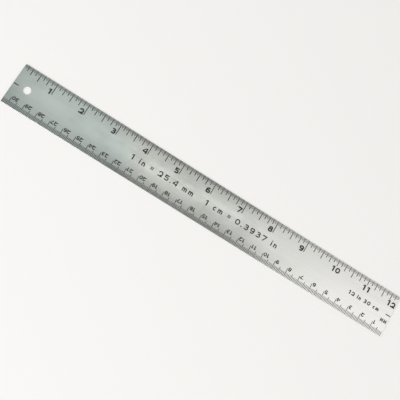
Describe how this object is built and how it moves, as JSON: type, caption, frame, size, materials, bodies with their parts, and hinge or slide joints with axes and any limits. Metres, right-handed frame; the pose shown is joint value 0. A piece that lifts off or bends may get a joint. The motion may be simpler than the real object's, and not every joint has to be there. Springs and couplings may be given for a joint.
{
  "type": "steel ruler",
  "caption": "Flat flexible steel rule with an inch scale on one long edge, a metric scale on the other and a round hang hole at one end.",
  "frame": {"origin": "under the middle of the blade, on its plain back face", "axes": "+X along the blade away from the inch zero end, +Y towards the inch edge, +Z out of the marked face"},
  "size_m": [0.3048, 0.031, 0.0005],
  "materials": {
    "spring_steel": "satin stainless steel, fine lengthwise grain",
    "black_filling": "semi-matt black enamel in etched marks"
  },
  "bodies": {
    "root": {"blade": "spring_steel", "inch_thirty_second_marks": "black_filling", "inch_sixteenth_marks": "black_filling", "inch_eighth_marks": "black_filling", "inch_quarter_marks": "black_filling", "inch_half_marks": "black_filling", "whole_inch_marks": "black_filling", "inch_numerals": "black_filling", "millimetre_marks": "black_filling", "five_millimetre_marks": "black_filling", "centimetre_marks": "black_filling", "centimetre_numerals": "black_filling", "metric_unit_mark": "black_filling", "end_centre_marks": "black_filling", "conversion_line": "black_filling", "scale_length_note": "black_filling"}
  },
  "joints": []
}
